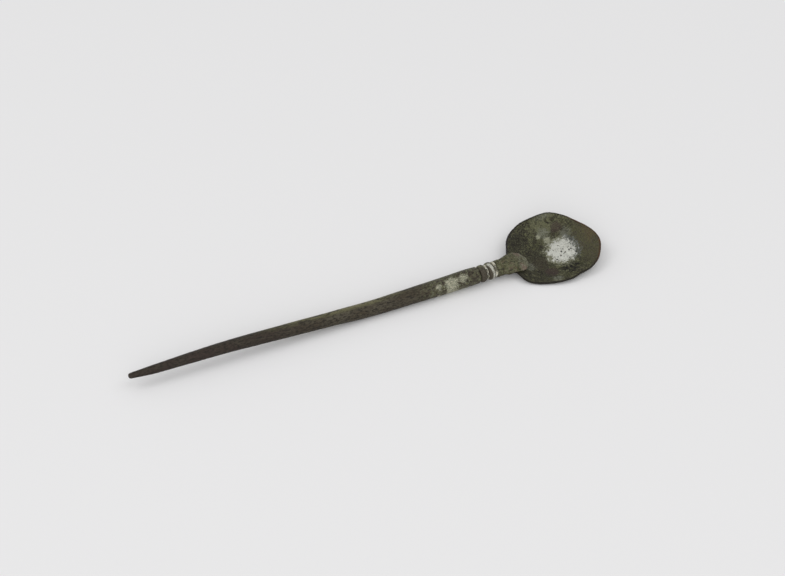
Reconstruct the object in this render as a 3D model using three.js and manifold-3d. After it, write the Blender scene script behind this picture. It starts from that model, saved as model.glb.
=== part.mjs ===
// A slender bronze scoop: a long tapering stem, a ringed collar, a short neck and a small shallow bowl.
// Millimetres, +Z up. The stem runs along X with its point at the low end, and the scoop lies on z = 0.

import * as THREE from "three";
import { mergeVertices } from "three/addons/utils/BufferGeometryUtils.js";
import Module from "manifold-3d";

const wasm = await Module();
wasm.setup();

// Stem: diameters, and how far from the point each of them is reached
const NOSE_LENGTH = 0.42;
const NOSE_DIAMETER = 1.26;
const TAPER_REACH = 6;
const TAPER_DIAMETER = 1.98;
const SLIM_REACH = 22;
const SLIM_DIAMETER = 2.74;
const MIDDLE_REACH = 48.5;
const MIDDLE_DIAMETER = 3.36;
const THICK_REACH = 82;
const THICK_DIAMETER = 4.14;
const STEM_LENGTH = 85.2;
const SHOULDER_DIAMETER = 3.95;
const SHOULDER_CHAMFER = 0.35;
const THROAT_DIAMETER = 3.3;

// Stem: the gap between its underside and the table, which the gentle bend gives it
const NOSE_LIFT = 2.6;
const TAPER_LIFT = 2.08;
const SLIM_LIFT = 1.86;
const BEND_REACH = 38;
const BEND_LIFT = 1.05;
const MIDDLE_LIFT = 0.46;
const REST_START = 57.5;
const REST_END = 77;
const SHOULDER_LIFT = 0.2;

// Depth of the flat that wear has left on each resting place
const STEM_WEAR = 0.1;
const BOWL_WEAR = 0.06;

// Collar: everything on the tenon between the shoulder and the neck, in order from the stem
const TENON_DIAMETER = 2.2;
const TENON_SEAT = 2.6;
const SEAT_GAP = 0.04;
const REAR_BEAD_WIDTH = 1.45;
const REAR_BEAD_DIAMETER = 4.08;
const REAR_RING_WIDTH = 0.5;
const REAR_RING_DIAMETER = 3.5;
const FRONT_BEAD_WIDTH = 1.5;
const FRONT_BEAD_DIAMETER = 4.14;
const FRONT_RING_WIDTH = 0.6;
const FRONT_RING_DIAMETER = 3.74;
const BEAD_SHOULDER = 0.42;

// Neck: a socket behind, and a slot in front between a rounded tongue and a short cradle
const NECK_LENGTH = 4;
const NECK_DIAMETER = 3.96;
const NECK_WAIST_REACH = 1.9;
const NECK_WAIST_DIAMETER = 3.84;
const NECK_SWELL_REACH = 3;
const NECK_SWELL_WIDTH = 4.7;
const NECK_SWELL_HEIGHT = 4.16;
const TONGUE_LENGTH = 4.7;
const TONGUE_WIDTH = 5.4;
const TONGUE_HEIGHT = 2.25;
const CRADLE_LENGTH = 2.7;
const CRADLE_HEIGHT = 1.15;
const NECK_ABOVE_RIM = 0.28;

// Bowl: a shallow dish of sheet, tilted a little back and to one side
const BOWL_RADIUS = 11;
const BOWL_DEPTH = 2.4;
const SHEET_THICKNESS = 0.9;
const RIM_THICKNESS = 0.5;
const BOWL_PITCH_DEGREES = 7;
const BOWL_ROLL_DEGREES = 5.3;
const BOWL_SIDE_OFFSET = 0.24;

// Bends of the rim out of round: where, over how many degrees, and how far out or in
const RIM_BENDS = [
  { at: -142, spread: 14, by: 0.65 },
  { at: -100, spread: 16, by: -0.23 },
  { at: -78, spread: 10, by: -0.48 },
  { at: -45, spread: 16, by: 0.35 },
  { at: -16, spread: 16, by: 0.56 },
  { at: 28, spread: 18, by: -0.67 },
  { at: 68, spread: 12, by: 0.52 },
  { at: 154, spread: 13, by: -0.45 },
];

// Mineral crust that lies on the middle of the dish
const CRUST_RADIUS = 3.6;
const CRUST_THICKNESS = 0.3;
const CRUST_EDGE = 0.08;
const CRUST_AHEAD = 1.6;
const CRUST_ASIDE = -0.75;

// Facets
const STEM_SIDES = 24;
const STEM_STEPS = 34;
const NOSE_STEPS = 4;
const TURNED_SIDES = 40;
const NECK_SIDES = 32;
const BOWL_SIDES = 72;
const BOWL_RINGS = 9;
const MIDDLE_SHARE = 0.02;
const CRUST_RINGS = 5;

const stemFinish = new THREE.MeshStandardMaterial({ color: 0x453d31, roughness: 0.55, metalness: 0.6 });
const beadFinish = new THREE.MeshStandardMaterial({ color: 0x54493a, roughness: 0.6, metalness: 0.5 });
const ringFinish = new THREE.MeshStandardMaterial({ color: 0xcfcab8, roughness: 0.85, metalness: 0.1 });
const neckFinish = new THREE.MeshStandardMaterial({ color: 0x6a6a48, roughness: 0.8, metalness: 0.3 });
const bowlFinish = new THREE.MeshStandardMaterial({ color: 0x565541, roughness: 0.7, metalness: 0.4 });
const crustFinish = new THREE.MeshStandardMaterial({ color: 0xc9cabb, roughness: 0.95, metalness: 0 });

// A closed solid through loops of equally many points, with a flat cap on the first and the last loop.
// Seen along the run of the loops, the points of each loop go round against the clock.
function skinLoops(loops) {
  const around = loops[0].length;
  const points = loops.flat();
  const firstMiddle = points.length;
  const lastMiddle = firstMiddle + 1;
  const middleOf = (loop) => loop.reduce((sum, p) => sum.add(p), new THREE.Vector3()).divideScalar(around);
  points.push(middleOf(loops[0]), middleOf(loops[loops.length - 1]));
  const faces = [];
  for (let side = 0; side < around; side++) {
    const next = (side + 1) % around;
    faces.push(firstMiddle, side, next);
    for (let step = 0; step + 1 < loops.length; step++) {
      const here = step * around;
      const there = here + around;
      faces.push(here + side, there + side, there + next);
      faces.push(here + side, there + next, here + next);
    }
    const last = (loops.length - 1) * around;
    faces.push(lastMiddle, last + next, last + side);
  }
  const geometry = new THREE.BufferGeometry().setFromPoints(points);
  geometry.setIndex(faces);
  return geometry;
}

// One oval loop across X, turned about X by its roll.
function ovalLoop({ x, y = 0, z, halfWidth, halfHeight, roll = 0 }, sides) {
  return Array.from({ length: sides }, (_, side) => {
    const angle = (-2 * Math.PI * side) / sides;
    const across = halfWidth * Math.cos(angle);
    const up = halfHeight * Math.sin(angle);
    return new THREE.Vector3(
      x,
      y + across * Math.cos(roll) - up * Math.sin(roll),
      z + across * Math.sin(roll) + up * Math.cos(roll),
    );
  });
}

// A turned piece on the X axis, from a profile of [radius, reach] pairs that closes on itself or on the axis.
function turned(profile) {
  const points = profile.map(([radius, reach]) => new THREE.Vector2(radius, reach));
  return new THREE.LatheGeometry(points, TURNED_SIDES).rotateZ(-Math.PI / 2);
}

function solidOf(geometry) {
  const bare = new THREE.BufferGeometry();
  bare.setAttribute("position", geometry.getAttribute("position"));
  bare.setIndex(geometry.getIndex());
  const merged = mergeVertices(bare, 1e-5);
  return new wasm.Manifold(
    new wasm.Mesh({
      numProp: 3,
      vertProperties: merged.getAttribute("position").array,
      triVerts: new Uint32Array(merged.getIndex().array),
    }),
  );
}

function geometryOf(solid) {
  const { vertProperties, triVerts } = solid.getMesh();
  const geometry = new THREE.BufferGeometry();
  geometry.setAttribute("position", new THREE.BufferAttribute(new Float32Array(vertProperties), 3));
  geometry.setIndex(new THREE.BufferAttribute(new Uint32Array(triVerts), 1));
  return geometry;
}

const cut = (whole, tool) => geometryOf(solidOf(whole).subtract(solidOf(tool)));

// A named mesh with flat shading of its own facets.
function piece(name, geometry, finish) {
  const faceted = geometry.toNonIndexed();
  faceted.computeVertexNormals();
  const mesh = new THREE.Mesh(faceted, finish);
  mesh.name = name;
  return mesh;
}

// Wears a geometry flat where it would sink below the table, seen from the place that it is set to.
function wornFlat(geometry, place) {
  const room = new THREE.Box3().setFromBufferAttribute(geometry.getAttribute("position"));
  const reach = 2 * room.getSize(new THREE.Vector3()).length();
  const table = new THREE.BoxGeometry(reach, reach, reach);
  const inPlace = geometry.clone().applyMatrix4(place);
  const middle = new THREE.Box3()
    .setFromBufferAttribute(inPlace.getAttribute("position"))
    .getCenter(new THREE.Vector3());
  table.translate(middle.x, middle.y, -reach / 2);
  return cut(inPlace, table).applyMatrix4(place.clone().invert());
}

// Smooth curve through the stem's measured places: the diameter and the lift at any reach
const stemPlaces = [
  [NOSE_LENGTH, NOSE_DIAMETER, NOSE_LIFT],
  [TAPER_REACH, TAPER_DIAMETER, TAPER_LIFT],
  [SLIM_REACH, SLIM_DIAMETER, SLIM_LIFT],
];
const diameterPlaces = [
  ...stemPlaces.map(([reach, diameter]) => [reach, diameter]),
  [MIDDLE_REACH, MIDDLE_DIAMETER],
  [THICK_REACH, THICK_DIAMETER],
  [STEM_LENGTH, SHOULDER_DIAMETER],
];
const liftPlaces = [
  ...stemPlaces.map(([reach, , lift]) => [reach, lift]),
  [BEND_REACH, BEND_LIFT],
  [MIDDLE_REACH, MIDDLE_LIFT],
  [REST_START, -STEM_WEAR / 2],
  [(REST_START + REST_END) / 2, -STEM_WEAR],
  [REST_END, -STEM_WEAR / 2],
  [STEM_LENGTH, SHOULDER_LIFT],
];

// A curve through [reach, value] pairs whose slope at each pair is that of its two neighbours.
function smoothThrough(places) {
  const slopeAt = (i) => {
    const before = places[Math.max(i - 1, 0)];
    const after = places[Math.min(i + 1, places.length - 1)];
    return (after[1] - before[1]) / (after[0] - before[0]);
  };
  return (reach) => {
    const found = places.findIndex(([place]) => place > reach);
    const i = found < 0 ? places.length - 2 : Math.max(found - 1, 0);
    const [start, value] = places[i];
    const [end, nextValue] = places[i + 1];
    const span = end - start;
    const t = THREE.MathUtils.clamp((reach - start) / span, 0, 1);
    const bulge = t * (1 - t) * span;
    return (
      THREE.MathUtils.lerp(value, nextValue, t * t * (3 - 2 * t)) +
      bulge * ((1 - t) * slopeAt(i) - t * slopeAt(i + 1))
    );
  };
}

const stemDiameter = smoothThrough(diameterPlaces);
const stemLift = smoothThrough(liftPlaces);
const stemAxisHeight = (reach) => stemLift(reach) + stemDiameter(reach) / 2;

// Bowl, in its own frame: the rim lies in z = 0 about the middle, and the dish hangs below it
const degrees = THREE.MathUtils.radToDeg;

function rimRadius(angle) {
  const bends = RIM_BENDS.map(({ at, spread, by }) => {
    const away = THREE.MathUtils.euclideanModulo(degrees(angle) - at + 180, 360) - 180;
    return by * Math.exp(-((away / spread) ** 2));
  });
  return BOWL_RADIUS + bends.reduce((sum, bend) => sum + bend, 0);
}

const dishHeight = (share) => -BOWL_DEPTH * (1 - share ** 2);
const sheetAt = (share) => THREE.MathUtils.lerp(SHEET_THICKNESS, RIM_THICKNESS, share ** 2);

// The dish as a closed sheet, grown on all sides by the gap that a slot for it needs.
function dishGeometry(gap) {
  const loopAt = (share, height, grow) =>
    Array.from({ length: BOWL_SIDES }, (_, side) => {
      const angle = (2 * Math.PI * side) / BOWL_SIDES;
      const radius = rimRadius(angle) * share + grow;
      return new THREE.Vector3(radius * Math.cos(angle), radius * Math.sin(angle), height);
    });
  const shares = Array.from({ length: BOWL_RINGS + 1 }, (_, ring) =>
    ring === 0 ? MIDDLE_SHARE : Math.sin((Math.PI / 2) * (ring / BOWL_RINGS)),
  );
  const inner = shares.map((share) => loopAt(share, dishHeight(share) + gap, 0));
  const lip = [
    loopAt(1, gap - RIM_THICKNESS * 0.2, gap + RIM_THICKNESS * 0.2),
    loopAt(1, -gap - RIM_THICKNESS * 0.8, gap + RIM_THICKNESS * 0.2),
  ];
  const outer = shares.map((share) => loopAt(share, dishHeight(share) - sheetAt(share) - gap, 0)).reverse();
  return skinLoops([...inner, ...lip, ...outer]);
}

const bowlTurn = new THREE.Matrix4().makeRotationFromEuler(
  new THREE.Euler(
    THREE.MathUtils.degToRad(BOWL_ROLL_DEGREES),
    -THREE.MathUtils.degToRad(BOWL_PITCH_DEGREES),
    0,
  ),
);
const dish = dishGeometry(0);
const turnedDish = new THREE.Box3().setFromBufferAttribute(
  dish.clone().applyMatrix4(bowlTurn).getAttribute("position"),
);
const COLLAR_LENGTH =
  REAR_BEAD_WIDTH + REAR_RING_WIDTH + FRONT_BEAD_WIDTH + FRONT_RING_WIDTH + 5 * SEAT_GAP;
const rimBehind = rimRadius(Math.PI);
const bowlPlace = bowlTurn
  .clone()
  .setPosition(
    STEM_LENGTH + COLLAR_LENGTH + NECK_LENGTH + rimBehind * Math.cos(THREE.MathUtils.degToRad(BOWL_PITCH_DEGREES)),
    BOWL_SIDE_OFFSET,
    -turnedDish.min.z - BOWL_WEAR,
  );

// Collar frame: from the middle of the shoulder towards a point just over the near edge of the rim
const shoulder = new THREE.Vector3(STEM_LENGTH, 0, stemAxisHeight(STEM_LENGTH));
const rimEdge = new THREE.Vector3(-rimBehind, 0, 0).applyMatrix4(bowlPlace);
const collarPitch = Math.atan2(rimEdge.z + NECK_ABOVE_RIM - shoulder.z, rimEdge.x - shoulder.x);

// Stem: loops along the bent axis, then the shoulder's chamfer and the tenon along the collar's axis
function stemGeometry() {
  const loops = [];
  const addRound = (x, z, radius) => loops.push(ovalLoop({ x, z, halfWidth: radius, halfHeight: radius }, STEM_SIDES));
  for (let step = 1; step < NOSE_STEPS; step++) {
    const angle = (Math.PI / 2) * (step / NOSE_STEPS);
    addRound(
      NOSE_LENGTH * (1 - Math.cos(angle)),
      stemAxisHeight(NOSE_LENGTH),
      (NOSE_DIAMETER / 2) * Math.sin(angle),
    );
  }
  const chamferStart = STEM_LENGTH - SHOULDER_CHAMFER;
  for (let step = 0; step <= STEM_STEPS; step++) {
    const reach = THREE.MathUtils.lerp(NOSE_LENGTH, chamferStart, step / STEM_STEPS);
    addRound(reach, stemAxisHeight(reach), stemDiameter(reach) / 2);
  }
  addRound(shoulder.x, shoulder.z, THROAT_DIAMETER / 2);
  const tenonLength = COLLAR_LENGTH + TENON_SEAT;
  for (const along of [0, tenonLength]) {
    addRound(
      shoulder.x + along * Math.cos(collarPitch),
      shoulder.z + along * Math.sin(collarPitch),
      TENON_DIAMETER / 2,
    );
  }
  return skinLoops(loops);
}

// A bead: a barrel with a bore for the tenon, drawn in at both edges to the depth of the groove
function beadGeometry(width, diameter) {
  const bore = TENON_DIAMETER / 2 + SEAT_GAP;
  const edge = diameter / 2 - BEAD_SHOULDER;
  const barrel = [];
  const steps = 6;
  for (let step = 0; step <= steps; step++) {
    const angle = Math.PI * (step / steps);
    barrel.push([edge + BEAD_SHOULDER * Math.sin(angle), (width / 2) * (1 - Math.cos(angle))]);
  }
  return turned([[bore, 0], ...barrel, [bore, width], [bore, 0]]);
}

// A thin flat ring with the same bore
function ringGeometry(width, diameter) {
  const bore = TENON_DIAMETER / 2 + SEAT_GAP;
  return turned([
    [bore, 0],
    [diameter / 2, 0],
    [diameter / 2, width],
    [bore, width],
    [bore, 0],
  ]);
}

// Neck, in the collar's frame from its own rear face. Its front end follows the dish that it holds.
function neckGeometry(neckFromBowl) {
  const round = (x, diameter) => ({ x, z: 0, halfWidth: diameter / 2, halfHeight: diameter / 2 });
  const sections = [
    round(0, NECK_DIAMETER - BEAD_SHOULDER),
    round(BEAD_SHOULDER / 2, NECK_DIAMETER),
    round(NECK_WAIST_REACH, NECK_WAIST_DIAMETER),
    { x: NECK_SWELL_REACH, z: 0, halfWidth: NECK_SWELL_WIDTH / 2, halfHeight: NECK_SWELL_HEIGHT / 2 },
  ];
  const shares = [0, 0.15, 0.3, 0.45, 0.6, 0.74, 0.86, 0.95, 0.995];
  for (const share of shares) {
    const inset = TONGUE_LENGTH * share;
    const dishShare = 1 - inset / rimBehind;
    const fall = Math.sqrt(1 - share ** 2);
    const keel = CRADLE_HEIGHT * Math.max(1 - (inset / CRADLE_LENGTH) ** 2, -0.25);
    const seat = new THREE.Vector3(inset - rimBehind, 0, dishHeight(dishShare)).applyMatrix4(neckFromBowl);
    const top = seat.z + TONGUE_HEIGHT * fall;
    const bottom = seat.z - sheetAt(dishShare) - keel;
    sections.push({
      x: seat.x,
      y: seat.y * share,
      z: (top + bottom) / 2,
      halfWidth: (TONGUE_WIDTH / 2) * fall ** 0.7,
      halfHeight: (top - bottom) / 2,
      roll: THREE.MathUtils.degToRad(BOWL_ROLL_DEGREES) * share,
    });
  }
  const body = skinLoops(sections.map((section) => ovalLoop(section, NECK_SIDES)));
  const socketDepth = TENON_SEAT + SEAT_GAP;
  const socket = turned([
    [0, -1],
    [TENON_DIAMETER / 2 + SEAT_GAP, -1],
    [TENON_DIAMETER / 2 + SEAT_GAP, socketDepth],
    [0, socketDepth],
  ]);
  const slot = dishGeometry(SEAT_GAP).applyMatrix4(neckFromBowl);
  return cut(cut(body, socket), slot);
}

// Crust: a thin uneven patch that follows the dish, in the bowl's frame
function crustGeometry() {
  const sides = BOWL_SIDES / 2;
  const heightOn = (x, y) => {
    const share = Math.hypot(x, y) / rimRadius(Math.atan2(y, x));
    return dishHeight(share);
  };
  const loopAt = (share, thickness) =>
    Array.from({ length: sides }, (_, side) => {
      const angle = (2 * Math.PI * side) / sides;
      const edge = CRUST_RADIUS * (1 + 0.07 * Math.cos(3 * angle + 0.6) + 0.05 * Math.cos(5 * angle + 2));
      const x = CRUST_AHEAD + edge * share * Math.cos(angle);
      const y = CRUST_ASIDE + edge * share * Math.sin(angle);
      return new THREE.Vector3(x, y, heightOn(x, y) + SEAT_GAP + thickness);
    });
  const shares = Array.from({ length: CRUST_RINGS + 1 }, (_, ring) =>
    ring === 0 ? MIDDLE_SHARE : ring / CRUST_RINGS,
  );
  const crown = shares.map((share) =>
    loopAt(share, CRUST_EDGE + (CRUST_THICKNESS - CRUST_EDGE) * Math.sqrt(1 - share ** 2)),
  );
  const underside = shares.map((share) => loopAt(share, 0)).reverse();
  return skinLoops([...crown, ...underside]);
}

// The scoop: the collar's group carries beads, rings and neck, the bowl's group carries dish and crust
const scoop = new THREE.Group();
scoop.add(piece("stem", wornFlat(stemGeometry(), new THREE.Matrix4()), stemFinish));

const collar = new THREE.Group();
collar.position.copy(shoulder);
collar.rotation.y = -collarPitch;
scoop.add(collar);

const stack = [
  ["collar_bead_rear", beadGeometry(REAR_BEAD_WIDTH, REAR_BEAD_DIAMETER), beadFinish, REAR_BEAD_WIDTH],
  ["collar_ring_rear", ringGeometry(REAR_RING_WIDTH, REAR_RING_DIAMETER), ringFinish, REAR_RING_WIDTH],
  ["collar_bead_front", beadGeometry(FRONT_BEAD_WIDTH, FRONT_BEAD_DIAMETER), beadFinish, FRONT_BEAD_WIDTH],
  ["collar_ring_front", ringGeometry(FRONT_RING_WIDTH, FRONT_RING_DIAMETER), ringFinish, FRONT_RING_WIDTH],
];
let along = SEAT_GAP;
for (const [name, geometry, finish, width] of stack) {
  const mesh = piece(name, geometry, finish);
  mesh.position.x = along;
  collar.add(mesh);
  along += width + SEAT_GAP;
}

const neckPlace = new THREE.Matrix4()
  .makeRotationY(-collarPitch)
  .setPosition(shoulder)
  .multiply(new THREE.Matrix4().makeTranslation(COLLAR_LENGTH, 0, 0));
const neckFromBowl = neckPlace.clone().invert().multiply(bowlPlace);
const neck = piece("neck", neckGeometry(neckFromBowl), neckFinish);
neck.position.x = COLLAR_LENGTH;
collar.add(neck);

const bowlGroup = new THREE.Group();
bowlGroup.applyMatrix4(bowlPlace);
bowlGroup.add(piece("bowl", wornFlat(dish, bowlPlace), bowlFinish));
bowlGroup.add(piece("bowl_crust", crustGeometry(), crustFinish));
scoop.add(bowlGroup);

// The part's origin is on the table, under the middle of the whole
const extent = new THREE.Box3().setFromObject(scoop, true);
const middle = extent.getCenter(new THREE.Vector3());
scoop.position.set(-middle.x, -middle.y, 0);

export default scoop;
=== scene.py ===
"""A slender antique bronze scoop with its corroded patina, lying on a pale table in soft light."""

import math

import bpy
from mathutils import Matrix, Vector, noise


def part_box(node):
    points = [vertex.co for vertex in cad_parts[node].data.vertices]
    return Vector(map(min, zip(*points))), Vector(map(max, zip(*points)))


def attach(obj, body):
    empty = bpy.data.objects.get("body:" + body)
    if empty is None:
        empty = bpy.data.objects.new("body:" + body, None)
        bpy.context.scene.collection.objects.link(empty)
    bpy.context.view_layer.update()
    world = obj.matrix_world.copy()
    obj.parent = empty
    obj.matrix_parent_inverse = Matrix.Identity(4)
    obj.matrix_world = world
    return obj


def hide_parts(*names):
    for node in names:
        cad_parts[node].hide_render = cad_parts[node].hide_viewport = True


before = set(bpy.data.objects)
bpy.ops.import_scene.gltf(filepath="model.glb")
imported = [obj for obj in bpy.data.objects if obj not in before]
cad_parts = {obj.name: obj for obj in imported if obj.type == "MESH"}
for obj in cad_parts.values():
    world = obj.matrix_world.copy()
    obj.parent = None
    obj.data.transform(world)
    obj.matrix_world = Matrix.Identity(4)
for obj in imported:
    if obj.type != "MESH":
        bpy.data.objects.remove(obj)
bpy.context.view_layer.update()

# Places that the whole script measures from, in millimetres
MM = 0.001
POINT_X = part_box("stem")[0].x / MM
AXIS_Y = (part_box("stem")[0].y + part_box("stem")[1].y) / 2 / MM
FRONT_BEAD_X = (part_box("collar_bead_front")[0].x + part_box("collar_bead_front")[1].x) / 2 / MM - POINT_X
BOWL_LOW, BOWL_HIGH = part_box("bowl")
BOWL_X = (BOWL_LOW.x + BOWL_HIGH.x) / 2 / MM - POINT_X
BOWL_Y = (BOWL_LOW.y + BOWL_HIGH.y) / 2 / MM - AXIS_Y

# The camera: a long lens that looks down on the table from the near side of the stem's point
LENS_MM = 100
SENSOR_MM = 36
CAMERA_DISTANCE_MM = 500.7
CAMERA_AZIMUTH = -24.98
CAMERA_ELEVATION = 40
LOOK_REACH_MM = 66.35
LOOK_ASIDE_MM = 6.325
NEAREST_SEEN_M = 0.01
FARTHEST_SEEN_M = 50

# The table and the even light from all round it
FLOOR_COLOUR = (0.79, 0.787, 0.792)
FLOOR_HALF_M = 3.0
FLOOR_ROUGHNESS = 0.9
SKY_COLOUR = (1, 1, 1, 1)

# Spans of the finishes along the scoop, in millimetres from the stem's point: from none to full
PURPLE_AT_POINT = (48, 20)
DARK_AT_POINT = (48, 30)
BARE_AT_POINT = (30, 12)
OLIVE_BEGINS = (28, 38)
OLIVE_ENDS = (70, 58)
STAIN_BEGINS = (67, 75)
TONGUE_BEGINS = (94.2, 95.6)
LUMP_BEGINS = (96.6, 97.4)

# The pale scratch across the shoulder: its middle, its slant, its edge as a square, and its two ends
SCRATCH_REACH = 85.0
SCRATCH_ASIDE = 0.9
SCRATCH_SLANT = 0.9
SCRATCH_EDGE = (0.06, 0.01)
SCRATCH_STARTS = (0.2, 0.5)
SCRATCH_STOPS = (1.7, 1.4)

# The smear along the nearer side of the front bead, about a slanting line
SMEAR_ASIDE = 0.6
SMEAR_SLANT = 0.35
SMEAR_EDGE = (0.3, 0.06)

# Patches on the stem and the tongue: reach, side, radius, softness, stretch along the scoop, strength
STEM_RESIDUE = [
    (77.6, -1.4, 1.0, 0.3, 1.6, 1.0),
    (80.6, -1.2, 0.65, 0.3, 1.7, 0.85),
    (74.4, -1.4, 0.45, 0.2, 1.4, 0.8),
]
TONGUE_NEAR_SPOT = (96.0, -2.0, 0.9, 0.3)
TONGUE_FAR_SPOT = (96.2, 2.2, 0.9, 0.3)

# Patches on the dish, in the same order, but with their reach from the middle of the bowl
# Painted shade over the rear of the dish's hollow, towards the neck
DISH_PAINTED_SHADE = [
    (-5.6, 6.6, 1.7, 0.5, 1.3),
    (-3.4, 0.4, 2.0, 0.5),
    (-3.9, -4.2, 1.6, 0.5),
    (-1.2, 3.0, 0.9, 0.4),
]
DISH_FAR_OLIVE = [(2.6, 8.8, 2.4, 0.8, 1.8)]
DISH_REAR_BROWN = [(-3.6, -1.0, 2.0, 0.5)]
DISH_NEAR_PURPLE = [(-2.4, -4.4, 1.5, 0.4)]
DISH_FAR_PURPLE = [(4.3, 6.7, 1.3, 0.4)]
DISH_HAZE = [
    (5.6, 4.2, 1.2, 0.5, 1.0, 0.6),
    (1.0, 6.6, 1.4, 0.6, 1.0, 0.8),
    (-2.3, -7.4, 1.1, 0.5, 1.0, 0.8),
    (3.4, 11.0, 1.3, 0.6, 2.0, 0.5),
    (-6.4, -1.0, 1.3, 0.4, 1.0, 0.6),
]
DISH_PALE_SPOTS = [
    (1.0, 4.6, 0.8, 0.3),
    (-0.6, 6.2, 0.5, 0.2),
]
DISH_FRONT_VIOLET = [(9.3, 5.4, 0.7, 0.2)]
DISH_PITS = [(2.2, -5.2, 1.6, 0.4, 1.4)]

# The chalky white area: its middle from that of the bowl, and how far its halo and itself reach
CHALK_AHEAD = 2.5
CHALK_ASIDE = 0.3
CHALK_RAGGED = 5.0
CHALK_GRAINY = 2.6
HALO_EDGE = (4.7, 3.3)
CHALK_EDGE = (3.5, 2.9)

# Width of the dark line of painted shade along the dish's edge, and in how many sectors that edge is looked
# for
RIM_WIDTH_MM = 0.6
RIM_SECTORS = 90

# How far the nearer rim of the dish sits below that of the plain solid, over what share of the dish
SETTLE_MM = 1.2
SETTLE_STARTS_MM = 2
SETTLE_WIDTH_MM = 12
SETTLE_BEGINS = (92.0, 96.0)

# The tongue's wider, lower end, and where it has bonded to the dish
SPREAD_BEGINS = (92.5, 96.5)
SPREAD_HEIGHT = (1.6, 2.6)
SPREAD_SHARE = 0.5
SPREAD_LOWERED_MM = 0.3
BONDED_BEGINS = (94.0, 96.0)

# How much the very point of the stem is worn away, and over what reach
POINT_WEAR_MM = 0.22
POINT_WEAR_ENDS = (-0.1, 0.8)


def from_camera_side(azimuth, elevation):
    """The direction from the scoop towards a viewer or lamp at those angles in degrees."""
    around = math.radians(azimuth)
    up = math.radians(elevation)
    return Vector((math.sin(around) * math.cos(up), -math.cos(around) * math.cos(up), math.sin(up)))


# The line of sight of the photograph, from the scoop to the camera
SIGHT = from_camera_side(CAMERA_AZIMUTH, CAMERA_ELEVATION)

# Tones of the patina, as linear colours
DARK_BROWN = (0.015, 0.0125, 0.009)
BROWN = (0.05, 0.04, 0.026)
GREY_BROWN = (0.07, 0.061, 0.043)
OLIVE = (0.08, 0.079, 0.034)
# Bright olive for the stem's upper far side, partly a painted highlight
STEM_OLIVE_HIGHLIGHT = (0.185, 0.172, 0.095)
OLIVE_LIGHT = (0.14, 0.141, 0.077)
MOSS = (0.052, 0.051, 0.022)
HAZE_GREEN = (0.19, 0.195, 0.15)
PALE_GREEN = (0.32, 0.32, 0.235)
WHITE_CRUST = (0.58, 0.585, 0.535)
CREAM = (0.46, 0.43, 0.33)
BLUE_GREY = (0.145, 0.158, 0.155)
PURPLE_BROWN = (0.052, 0.034, 0.029)
VIOLET_DARK = (0.022, 0.017, 0.022)
RUST = (0.11, 0.05, 0.02)
PINK_BROWN = (0.16, 0.115, 0.088)
BLACK_PIT = (0.01, 0.009, 0.008)

# Sockets of the Mix node when it mixes colours
MIX_SHARE = 0
MIX_FIRST = 6
MIX_SECOND = 7
MIX_RESULT = 2


class Shade:
    """A number that varies over a surface. Arithmetic on it adds Math nodes to its tree."""

    def __init__(self, owner, socket):
        self.owner = owner
        self.socket = socket

    def join(self, operation, *values):
        """The result of one Math node on those values."""
        node = self.owner.node("ShaderNodeMath", {"operation": operation}, dict(enumerate(values)))
        return Shade(self.owner, node.outputs[0])

    def __add__(self, other):
        return self.join("ADD", self, other)

    __radd__ = __add__

    def __sub__(self, other):
        return self.join("SUBTRACT", self, other)

    def __rsub__(self, other):
        return self.join("SUBTRACT", other, self)

    def __mul__(self, other):
        return self.join("MULTIPLY", self, other)

    __rmul__ = __mul__

    def __truediv__(self, other):
        return self.join("DIVIDE", self, other)

    def __pow__(self, other):
        return self.join("POWER", self, other)

    def most(self, other):
        """The larger of the two at each place."""
        return self.join("MAXIMUM", self, other)

    def step(self, low, high):
        """0 below low, 1 above high, and smooth between; low over high turns it round."""
        node = self.owner.node(
            "ShaderNodeMapRange",
            {"interpolation_type": "SMOOTHSTEP"},
            {"Value": self, "From Min": low, "From Max": high},
        )
        return Shade(self.owner, node.outputs["Result"])


class Nodes:
    """The empty node tree of a material or of the world, and the one way to fill it."""

    def __init__(self, tree):
        self.tree = tree
        self.tree.nodes.clear()

    def node(self, kind, settings=None, inputs=None):
        """Any node: its settings first, then the values or links of its sockets."""
        node = self.tree.nodes.new(kind)
        for key, value in (settings or {}).items():
            setattr(node, key, value)
        for key, value in (inputs or {}).items():
            socket = node.inputs[key]
            source = value.socket if isinstance(value, Shade) else value
            if isinstance(source, bpy.types.NodeSocket):
                self.tree.links.new(source, socket)
            else:
                socket.default_value = source
        return node


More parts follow.
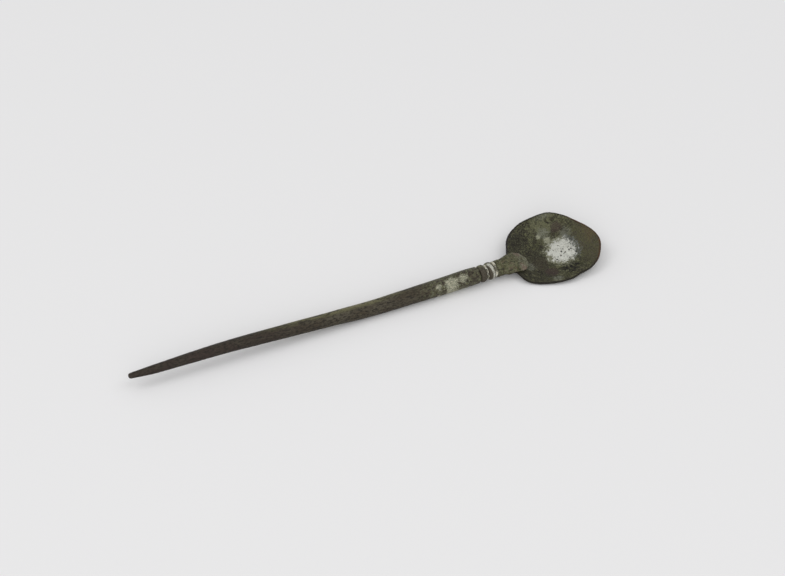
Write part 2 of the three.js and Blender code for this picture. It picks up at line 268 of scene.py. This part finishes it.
class Finish(Nodes):
    """One procedural material, with positions in millimetres from the stem's point and axis."""

    def __init__(self, name):
        self.material = bpy.data.materials.new(name)
        self.material.use_nodes = True
        super().__init__(self.material.node_tree)
        origin = (-POINT_X * MM, -AXIS_Y * MM, 0)
        moved = self.node(
            "ShaderNodeVectorMath",
            {"operation": "ADD"},
            {0: self.node("ShaderNodeTexCoord").outputs["Object"], 1: origin},
        )
        scaled = self.node(
            "ShaderNodeVectorMath", {"operation": "SCALE"}, {0: moved.outputs[0], "Scale": 1 / MM}
        )
        self.place = scaled.outputs[0]
        parts = self.node("ShaderNodeSeparateXYZ", inputs={0: self.place})
        self.x, self.y, self.z = (Shade(self, output) for output in parts.outputs)

    def stretched(self, along):
        """The place with its reach along the scoop scaled, which draws out a pattern that way."""
        node = self.node(
            "ShaderNodeVectorMath", {"operation": "MULTIPLY"}, {0: self.place, 1: (along, 1, 1)}
        )
        return node.outputs[0]

    def clouds(self, scale, detail=4.0, roughness=0.6, distortion=0.0, place=None):
        """Cloudy noise of about 0.3 to 0.7, with so many clouds to the millimetre."""
        node = self.node(
            "ShaderNodeTexNoise",
            inputs={
                "Vector": place or self.place,
                "Scale": scale,
                "Detail": detail,
                "Roughness": roughness,
                "Distortion": distortion,
            },
        )
        return Shade(self, node.outputs["Fac"])

    def cells(self, scale):
        """Distance to the nearest of many scattered points."""
        node = self.node("ShaderNodeTexVoronoi", inputs={"Vector": self.place, "Scale": scale})
        return Shade(self, node.outputs["Distance"])

    def mix(self, share, first, second):
        """The first colour, with that share of the second laid over it."""
        node = self.node(
            "ShaderNodeMix",
            {"data_type": "RGBA"},
            {MIX_SHARE: share, MIX_FIRST: self.colour(first), MIX_SECOND: self.colour(second)},
        )
        return node.outputs[MIX_RESULT]

    @staticmethod
    def colour(value):
        """A tone with its alpha, or the link that a colour already is."""
        return (*value, 1.0) if isinstance(value, tuple) else value

    def patch(self, x, y, radius, soft, stretch=1.0, strength=1.0):
        """Its strength inside a round patch about that reach and side, and 0 outside its ragged edge."""
        across = (self.x - x) / stretch
        aside = self.y - y
        away = (across * across + aside * aside) ** 0.5
        ragged = away + (self.clouds(1.3, 6.0, 0.72) - 0.5) * (radius * 2.4)
        return ragged.step(radius + soft, radius - soft) * strength

    def patches(self, areas, middle=0.0):
        """The strongest of several patches at each place. Their reach counts from that middle."""
        shares = [self.patch(middle + x, *rest) for x, *rest in areas]
        strongest = shares[0]
        for share in shares[1:]:
            strongest = strongest.most(share)
        return strongest

    def surface(self, colour, roughness, metallic, height, distance, specular=0.3):
        """The metal's surface from its colour, its gloss and the height of its relief in millimetres."""
        bump = self.node("ShaderNodeBump", inputs={"Height": height, "Distance": distance * MM})
        body = self.node(
            "ShaderNodeBsdfPrincipled",
            inputs={
                "Base Color": self.colour(colour),
                "Roughness": roughness,
                "Metallic": metallic,
                "Specular IOR Level": specular,
                "Normal": bump.outputs[0],
            },
        )
        self.node("ShaderNodeOutputMaterial", inputs={"Surface": body.outputs[0]})
        return self.material


def scratch_mark(f):
    """The slanting scratch across the shoulder."""
    off_line = f.x - SCRATCH_REACH - (f.y - SCRATCH_ASIDE) * SCRATCH_SLANT
    line = (off_line * off_line).step(*SCRATCH_EDGE)
    return line * f.y.step(*SCRATCH_STARTS) * f.y.step(*SCRATCH_STOPS)


def stem_finish():
    """Dark worn bronze: brown at the point, olive on the middle, pale residue near the collar. The olive
    keeps to the upper far side, where its brighter streaks are partly a painted highlight.
    """
    f = Finish("stem_patina")
    drawn = f.clouds(0.55, 5.0, 0.62, 0.3, f.stretched(0.3))
    grain = f.clouds(3.4, 6.0, 0.7, 0.2, f.stretched(0.4))
    specks = f.clouds(5.0, 5.0, 0.72)
    streaks = f.clouds(0.8, 6.0, 0.7, 0.8, f.stretched(0.3))
    colour = f.mix(drawn.step(0.38, 0.64), BROWN, GREY_BROWN)
    colour = f.mix(f.x.step(*PURPLE_AT_POINT) * drawn.step(0.7, 0.42) * 0.85, colour, PURPLE_BROWN)
    # Olive streaks kept to the upper far side of the rod: partly olive patina, partly a painted highlight
    # along the lit top
    upper_middle = f.x.step(*OLIVE_BEGINS) * f.x.step(*OLIVE_ENDS) * f.y.step(-1.0, 0.4)
    colour = f.mix(upper_middle * streaks.step(0.38, 0.48) * 0.9, colour, OLIVE)
    colour = f.mix(grain.step(0.52, 0.42) * 0.88, colour, DARK_BROWN)
    flecks = grain.step(0.58, 0.7) * (1 - f.x.step(*BARE_AT_POINT) * 0.7)
    colour = f.mix(flecks * 0.45, colour, OLIVE_LIGHT)
    # Brighter olive on the upper far side: partly patina, partly a painted highlight
    olive_and_highlight = upper_middle * streaks.step(0.41, 0.52) * specks.step(0.38, 0.5)
    colour = f.mix(olive_and_highlight * 0.8, colour, STEM_OLIVE_HIGHLIGHT)
    colour = f.mix(f.x.step(*DARK_AT_POINT) * 0.4, colour, DARK_BROWN)
    stain = f.x.step(*STAIN_BEGINS) * f.clouds(1.4, 6.0, 0.72, 0.6).step(0.48, 0.56)
    colour = f.mix(stain * 0.85, colour, OLIVE)
    colour = f.mix(stain * specks.step(0.48, 0.58) * 0.8, colour, HAZE_GREEN)
    chalk = f.patches(STEM_RESIDUE) * specks.step(0.36, 0.48)
    colour = f.mix(chalk * 0.95, colour, f.mix(grain.step(0.38, 0.5), HAZE_GREEN, PALE_GREEN))
    colour = f.mix(chalk * grain.step(0.5, 0.6) * 0.7, colour, CREAM)
    colour = f.mix(scratch_mark(f) * 0.8, colour, CREAM)
    gloss = 0.42 + grain * 0.2 + chalk * 0.3 + stain * 0.12
    height = grain * 0.7 + specks * 0.3 + chalk * 0.4
    return f.surface(colour, gloss, 0.3 - chalk * 0.3, height, 0.1, 0.22)


def bead_finish():
    """Brown bronze with light olive on its upper far side, partly a painted highlight, and a pale smear
    along its nearer side.
    """
    f = Finish("bead_patina")
    grain = f.clouds(3.0, 6.0, 0.7)
    fine = f.clouds(6.5, 4.0, 0.65)
    colour = f.mix(grain.step(0.42, 0.6), BROWN, GREY_BROWN)
    # Light olive on the upper far side of each bead: partly patina, partly a painted highlight
    olive_and_highlight = f.y.step(-0.7, 0.6) * f.clouds(1.2, 3.0).step(0.4, 0.56)
    colour = f.mix(olive_and_highlight * 0.8, colour, OLIVE_LIGHT)
    colour = f.mix(grain.step(0.45, 0.34) * 0.8, colour, DARK_BROWN)
    off_line = f.x - FRONT_BEAD_X + (f.y + SMEAR_ASIDE) * SMEAR_SLANT
    smear = (off_line * off_line).step(*SMEAR_EDGE) * f.y.step(0.9, 0.0) * fine.step(0.36, 0.48)
    colour = f.mix(smear * 0.9, colour, f.mix(fine.step(0.44, 0.56), CREAM, WHITE_CRUST))
    height = grain * 0.6 + fine * 0.4 + smear * 0.5
    return f.surface(colour, 0.5 + grain * 0.2, 0.2, height, 0.12)


def ring_finish():
    """Chalky pale metal, broken by stains where dirt has settled."""
    f = Finish("pale_ring_residue")
    grain = f.clouds(3.0, 6.0, 0.72)
    stain = f.clouds(0.95, 4.0, 0.6, 0.5)
    colour = f.mix(grain.step(0.46, 0.62), CREAM, WHITE_CRUST)
    colour = f.mix(stain.step(0.46, 0.53) * 0.9, colour, GREY_BROWN)
    colour = f.mix(grain.step(0.47, 0.38) * 0.8, colour, OLIVE)
    colour = f.mix(f.y.step(0.5, 1.4) * 0.6, colour, OLIVE)
    return f.surface(colour, 0.8, 0.0, grain, 0.14)


def neck_finish():
    """Rough granular green corrosion with dark hollows, brown painted shade along its lower side, and brown
    spots and pale flecks on the tongue.
    """
    f = Finish("neck_corrosion")
    broad = f.clouds(0.9, 5.0, 0.66, 0.6)
    grain = f.clouds(2.4, 6.0, 0.74, 0.5)
    fine = f.clouds(5.0, 5.0, 0.72)
    clots = f.clouds(1.3, 5.0, 0.7, 1.0)
    colour = f.mix(broad.step(0.42, 0.54), OLIVE, OLIVE_LIGHT)
    colour = f.mix(grain.step(0.5, 0.42) * 0.9, colour, BROWN)
    colour = f.mix(fine.step(0.48, 0.38) * 0.85, colour, DARK_BROWN)
    colour = f.mix(fine.step(0.56, 0.63) * 0.5, colour, HAZE_GREEN)
    colour = f.mix(clots.step(0.47, 0.42) * 0.75, colour, DARK_BROWN)
    colour = f.mix(clots.step(0.56, 0.62) * 0.5, colour, PINK_BROWN)
    # Painted shade: the lower part of the neck, near the table, is mixed towards brown
    colour = f.mix(f.z.step(2.1, 1.0) * 0.7, colour, BROWN)
    tongue = f.x.step(*TONGUE_BEGINS)
    colour = f.mix(tongue * f.patch(*TONGUE_NEAR_SPOT) * 0.85, colour, PINK_BROWN)
    colour = f.mix(tongue * f.patch(*TONGUE_FAR_SPOT) * 0.7, colour, PINK_BROWN)
    flecks = tongue * grain.step(0.48, 0.54) * f.clouds(1.1, 3.0).step(0.36, 0.46)
    colour = f.mix(flecks * 0.5, colour, f.mix(fine.step(0.5, 0.62), HAZE_GREEN, PALE_GREEN))
    lump = f.x.step(*LUMP_BEGINS) * fine.step(0.46, 0.52)
    colour = f.mix(lump * 0.5, colour, PALE_GREEN)
    height = grain * 0.7 + fine * 0.4 + broad * 0.3
    return f.surface(colour, 0.6 + grain * 0.2, 0.1, height, 0.22, 0.2)


class DishFinish(Finish):
    """The finish of the dish, with the noises and areas that its layers share."""

    def __init__(self, name):
        super().__init__(name)
        self.broad = self.clouds(0.3, 5.0, 0.62, 0.8)
        self.middle = self.clouds(0.75, 6.0, 0.7, 0.9)
        self.grain = self.clouds(2.8, 6.0, 0.74)
        self.fine = self.clouds(5.5, 5.0, 0.7)
        self.plain = self.ahead(5.0, 7.5) * self.y.step(6, 3)

    def ahead(self, low, high):
        """0 to 1 between two reaches from the middle of the bowl."""
        return self.x.step(BOWL_X + low, BOWL_X + high)

    def mottled(self):
        """The mottled metal, its dark blotches, which grow and deepen towards the rear as painted shade, and
        patches of painted shade over the rear of the hollow.
        """
        rear = self.ahead(1.0, -5)
        blotch = self.clouds(1.0, 6.0, 0.72, 1.4)
        ridge = self.clouds(1.3, 5.0, 0.6, 1.6) - 0.5
        colour = self.mix(self.broad.step(0.44, 0.56), BROWN, OLIVE)
        colour = self.mix(self.middle.step(0.49, 0.55) * (1 - self.plain) * 0.95, colour, OLIVE_LIGHT)
        colour = self.mix(self.middle.step(0.47, 0.41) * 0.85, colour, MOSS)
        plain_tone = self.mix(self.grain.step(0.44, 0.56), GREY_BROWN, OLIVE)
        colour = self.mix(self.plain * 0.75, colour, plain_tone)
        # Dark blotches of the metal; towards the rear of the dish they become more and darker, which is
        # painted shade
        dark = (blotch - rear * 0.03).step(0.54, 0.48) * (1 - self.plain * 0.8)
        colour = self.mix(dark * (0.78 + rear * 0.18), colour, DARK_BROWN)
        # Painted shade: dark patches over the rear of the dish's hollow
        shadowed = self.patches(DISH_PAINTED_SHADE, BOWL_X) * (0.55 + self.middle.step(0.58, 0.5) * 0.4)
        colour = self.mix(shadowed, colour, DARK_BROWN)
        far_olive = self.patches(DISH_FAR_OLIVE, BOWL_X) * self.middle.step(0.42, 0.54)
        colour = self.mix(far_olive * 0.85, colour, OLIVE_LIGHT)
        veins = (ridge * ridge).step(0.0012, 0.0001) * (1 - self.plain * 0.7)
        colour = self.mix(veins * 0.6, colour, OLIVE_LIGHT)
        return colour, dark

    def stained(self, colour):
        """Brown, purple, dark, green and rusty stains over the metal."""
        colour = self.mix(self.patches(DISH_REAR_BROWN, BOWL_X) * 0.5, colour, BROWN)
        colour = self.mix(self.patches(DISH_NEAR_PURPLE, BOWL_X) * 0.8, colour, PURPLE_BROWN)
        colour = self.mix(self.patches(DISH_FAR_PURPLE, BOWL_X) * 0.7, colour, PURPLE_BROWN)
        colour = self.mix(self.fine.step(0.47, 0.4) * 0.9, colour, DARK_BROWN)
        flecks = self.fine.step(0.58, 0.65) * (1 - self.plain * 0.6)
        colour = self.mix(flecks * 0.6, colour, HAZE_GREEN)
        rust = self.ahead(7.5, 10.5) * self.broad.step(0.42, 0.6)
        colour = self.mix(rust * 0.22, colour, RUST)
        haze = self.patches(DISH_HAZE, BOWL_X) * self.grain.step(0.4, 0.54)
        colour = self.mix(haze, colour, HAZE_GREEN)
        spots = self.patches(DISH_PALE_SPOTS, BOWL_X) * self.grain.step(0.34, 0.5)
        colour = self.mix(spots * 0.85, colour, PALE_GREEN)
        return self.mix(self.patches(DISH_FRONT_VIOLET, BOWL_X) * 0.8, colour, VIOLET_DARK)

    def chalked(self, colour):
        """The chalky white area with its halo, its holes and its black specks."""
        across = self.x - BOWL_X - CHALK_AHEAD
        aside = self.y - CHALK_ASIDE
        away = (across * across + aside * aside) ** 0.5
        frayed = away + (self.clouds(0.7, 6.0, 0.72) - 0.5) * CHALK_RAGGED
        frayed = frayed + (self.grain - 0.5) * CHALK_GRAINY
        halo = frayed.step(*HALO_EDGE)
        white = frayed.step(*CHALK_EDGE)
        front = self.ahead(3.4, 5.6)
        mould = self.mix(self.fine.step(0.42, 0.56), OLIVE_LIGHT, PALE_GREEN)
        colour = self.mix(halo * (1 - front) * 0.75, colour, mould)
        colour = self.mix(halo * front * 0.6, colour, BLUE_GREY)
        chalk = self.mix(self.fine.step(0.34, 0.46), CREAM, WHITE_CRUST)
        colour = self.mix(white * 0.95, colour, chalk)
        cracks = self.grain.step(0.44, 0.39) * self.clouds(0.8, 3.0).step(0.5, 0.58)
        holes = self.cells(1.2).step(0.26, 0.16).most(cracks) * white
        colour = self.mix(holes * 0.75, colour, GREY_BROWN)
        specks = self.cells(1.1).step(0.26, 0.2) * self.clouds(0.8, 2.0).step(0.46, 0.5)
        black = specks.most(self.fine.step(0.37, 0.34)) * white
        return self.mix(black * 0.9, colour, BLACK_PIT), white, holes

    def edged(self, colour):
        """The dark line along the rim, painted shade of its thin edge wall, with rust in front and violet
        behind.
        """
        marked = self.node("ShaderNodeAttribute", {"attribute_name": "rim"})
        rim = Shade(self, marked.outputs["Fac"])
        # Painted shade along the dish's thin edge wall
        colour = self.mix(rim * 0.9, colour, DARK_BROWN)
        rusty = rim * self.ahead(6, 9) * self.grain.step(0.4, 0.56)
        colour = self.mix(rusty * 0.8, colour, RUST)
        violet = rim * self.ahead(-5, -8) * self.y.step(-2, 2)
        return self.mix(violet * 0.7, colour, VIOLET_DARK)


def dish_finish(name, metallic):
    """Mottled olive and brown patina of the dish with the chalky white area in its middle."""
    f = DishFinish(name)
    colour, dark = f.mottled()
    colour, white, holes = f.chalked(f.stained(colour))
    pits = f.clouds(1.5, 4.0, 0.66).step(0.53, 0.47) * f.patches(DISH_PITS, BOWL_X)
    colour = f.edged(f.mix(pits * 0.95, colour, BLACK_PIT))
    gloss = 0.5 + f.grain * 0.26 + white * 0.2
    raised = f.grain * 0.6 + f.fine * 0.35 + f.middle * 0.3
    height = raised - pits * 0.8 - holes * 0.5 - dark * 0.25 + white * 0.25
    return f.surface(colour, gloss, metallic, height, 0.2, 0.2)


def relief(point, height_mm, scale, octaves):
    """Smooth bumps of about that height either way, with so many to the millimetre."""
    return height_mm * noise.fractal(point * scale, 1.0, 2.0, octaves, noise_basis="PERLIN_ORIGINAL")


def dressed(node, voxel_mm, smoothing, raise_at, finish, shape=None):
    """A fine skin over a CAD node: remeshed, smoothed, reshaped, then raised along its normals."""
    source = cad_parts[node]
    mesh = source.data.copy()
    mesh.materials.clear()
    skin = bpy.data.objects.new(node + "_skin", mesh)
    bpy.context.scene.collection.objects.link(skin)
    remesh = skin.modifiers.new("fine", "REMESH")
    remesh.mode = "VOXEL"
    remesh.voxel_size = voxel_mm * MM
    smooth = skin.modifiers.new("soften", "SMOOTH")
    smooth.factor = 0.5
    smooth.iterations = smoothing
    graph = bpy.context.evaluated_depsgraph_get()
    fine = bpy.data.meshes.new_from_object(skin.evaluated_get(graph))
    skin.modifiers.clear()
    skin.data = fine
    normals = [vertex.normal.copy() for vertex in fine.vertices]
    origin = Vector((POINT_X, AXIS_Y, 0))
    for vertex, normal in zip(fine.vertices, normals):
        place = vertex.co / MM - origin
        if shape:
            vertex.co += (shape(place) - place) * MM
        vertex.co += normal * (raise_at(place) * MM)
        vertex.co.z = max(vertex.co.z, 0.0)
    for polygon in fine.polygons:
        polygon.use_smooth = True
    fine.materials.append(finish)
    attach(skin, "root")
    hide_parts(node)
    return skin


def ease(value, low, high):
    """0 below low, 1 above high, and smooth between."""
    share = min(1.0, max(0.0, (value - low) / (high - low)))
    return share * share * (3 - 2 * share)


def mark_rim(skin):
    """Keeps on each point how near it is to the dish's own edge, which isn't quite round."""
    mesh = skin.data
    centre = Vector((POINT_X + BOWL_X, AXIS_Y + BOWL_Y, 0))
    reach = [0.0] * RIM_SECTORS
    polar = []
    for vertex in mesh.vertices:
        away = vertex.co / MM - centre
        angle = math.atan2(away.y, away.x) / math.tau * RIM_SECTORS
        length = math.hypot(away.x, away.y)
        polar.append((angle, length))
        sector = int(angle) % RIM_SECTORS
        reach[sector] = max(reach[sector], length)
    rim = mesh.attributes.new("rim", "FLOAT", "POINT")
    for index, (angle, length) in enumerate(polar):
        edge = reach[int(angle) % RIM_SECTORS]
        rim.data[index].value = ease(length, edge - RIM_WIDTH_MM, edge - RIM_WIDTH_MM / 3)


def stem_relief(place):
    """Hammer marks along the rod and fine corrosion, with the very point rounded off."""
    drawn_out = Vector((place.x * 0.16, place.y * 0.5, place.z * 0.5))
    marks = relief(drawn_out, 0.04, 1.0, 2)
    fine = relief(place, 0.02, 1.6, 3)
    return marks + fine - POINT_WEAR_MM * (1 - ease(place.x, *POINT_WEAR_ENDS))


def bead_relief(place):
    """Even corrosion of the beads and rings."""
    return relief(place, 0.06, 1.3, 3)


def neck_relief(place):
    """Coarse and fine corrosion, stronger where the tongue has bonded to the dish."""
    bonded = ease(place.x, *BONDED_BEGINS)
    return relief(place, 0.1 + 0.08 * bonded, 0.9, 2) + relief(place, 0.07 + 0.04 * bonded, 2.4, 3)


def settled(place):
    """The nearer half of the dish sinks a little to the table, along the line of sight of the photograph."""
    nearer = min(1.0, max(0.0, (BOWL_Y + SETTLE_STARTS_MM - place.y) / SETTLE_WIDTH_MM))
    share = nearer * ease(place.x, *SETTLE_BEGINS)
    return place - SIGHT * (SETTLE_MM * share / SIGHT.z)


def neck_shape(place):
    """The tongue spreads towards its end, as it does where it has bonded to the dish."""
    spread = ease(place.x, *SPREAD_BEGINS)
    upper = ease(place.z, *SPREAD_HEIGHT)
    aside = place.y * (1 + SPREAD_SHARE * spread * upper)
    return settled(Vector((place.x, aside, place.z - SPREAD_LOWERED_MM * spread * upper)))


def bowl_relief(place):
    """Slow waves of the beaten sheet and fine corrosion."""
    return relief(place, 0.06, 0.35, 2) + relief(place, 0.025, 1.8, 3)


def crust_relief(place):
    """The lumps of the mineral layer."""
    return relief(place, 0.06, 1.1, 3)


# The skins, each with the size of its voxels in millimetres and its rounds of smoothing
dressed("stem", 0.13, 4, stem_relief, stem_finish())
beads = bead_finish()
rings = ring_finish()
for end in ("rear", "front"):
    dressed("collar_bead_" + end, 0.07, 3, bead_relief, beads)
    dressed("collar_ring_" + end, 0.06, 2, bead_relief, rings)
dressed("neck", 0.09, 5, neck_relief, neck_finish(), neck_shape)
mark_rim(dressed("bowl", 0.13, 3, bowl_relief, dish_finish("bowl_patina", 0.2), settled))
dressed("bowl_crust", 0.08, 3, crust_relief, dish_finish("mineral_crust", 0.0), settled)


def table():
    """A plain pale sheet that the scoop lies on."""
    half = FLOOR_HALF_M
    mesh = bpy.data.meshes.new("table")
    corners = [(-half, -half, 0), (half, -half, 0), (half, half, 0), (-half, half, 0)]
    mesh.from_pydata(corners, [], [(0, 1, 2, 3)])
    sheet = bpy.data.objects.new("table", mesh)
    bpy.context.scene.collection.objects.link(sheet)
    finish = Finish("table_paper")
    body = finish.node(
        "ShaderNodeBsdfPrincipled",
        inputs={
            "Base Color": finish.colour(FLOOR_COLOUR),
            "Roughness": FLOOR_ROUGHNESS,
            "Specular IOR Level": 0.0,
        },
    )
    finish.node("ShaderNodeOutputMaterial", inputs={"Surface": body.outputs[0]})
    mesh.materials.append(finish.material)


def lamp(name, around, elevation, distance, size, watts):
    """A square soft lamp that faces the scoop, so many degrees round from the camera."""
    light = bpy.data.lights.new(name, "AREA")
    light.shape = "SQUARE"
    light.size = size
    light.energy = watts
    lamp_object = bpy.data.objects.new(name, light)
    bpy.context.scene.collection.objects.link(lamp_object)
    away = from_camera_side(CAMERA_AZIMUTH + around, elevation)
    lamp_object.location = away * distance
    lamp_object.rotation_euler = away.to_track_quat("Z", "Y").to_euler()


def sky(strength, seen):
    """Even light from all round; the camera and reflections see the pale backdrop."""
    world = bpy.data.worlds.new("studio")
    bpy.context.scene.world = world
    world.use_nodes = True
    nodes = Nodes(world.node_tree)
    rays = nodes.node("ShaderNodeLightPath").outputs
    shown = Shade(nodes, rays["Is Camera Ray"]).most(rays["Is Glossy Ray"])
    shown = shown.most(rays["Is Transmission Ray"])
    light = nodes.node("ShaderNodeBackground", inputs={"Color": SKY_COLOUR, "Strength": strength})
    backdrop = nodes.node("ShaderNodeBackground", inputs={"Color": SKY_COLOUR, "Strength": seen})
    mixed = nodes.node(
        "ShaderNodeMixShader", inputs={0: shown, 1: light.outputs[0], 2: backdrop.outputs[0]}
    )
    nodes.node("ShaderNodeOutputWorld", inputs={"Surface": mixed.outputs[0]})


def camera():
    """The long lens at the photograph's viewing angle."""
    around = math.radians(CAMERA_AZIMUTH)
    right = Vector((math.cos(around), math.sin(around), 0))
    above = SIGHT.cross(right)
    data = bpy.data.cameras.new("camera")
    data.lens = LENS_MM
    data.sensor_width = SENSOR_MM
    data.sensor_fit = "HORIZONTAL"
    data.clip_start = NEAREST_SEEN_M
    data.clip_end = FARTHEST_SEEN_M
    view = bpy.data.objects.new("camera", data)
    bpy.context.scene.collection.objects.link(view)
    target = Vector((POINT_X + LOOK_REACH_MM, AXIS_Y + LOOK_ASIDE_MM, 0)) * MM
    turn = Matrix((right, above, SIGHT)).transposed().to_4x4()
    view.matrix_world = Matrix.Translation(target + SIGHT * CAMERA_DISTANCE_MM * MM) @ turn
    bpy.context.scene.camera = view


table()
lamp("lamp_left", around=-88, elevation=52, distance=1.2, size=0.6, watts=2.0)
lamp("lamp_right", around=88, elevation=52, distance=1.2, size=0.8, watts=1.5)
lamp("lamp_front", around=0, elevation=26, distance=1.4, size=1.1, watts=6.5)
sky(strength=0.71, seen=0.8)
camera()
bpy.context.scene.view_settings.view_transform = "Standard"
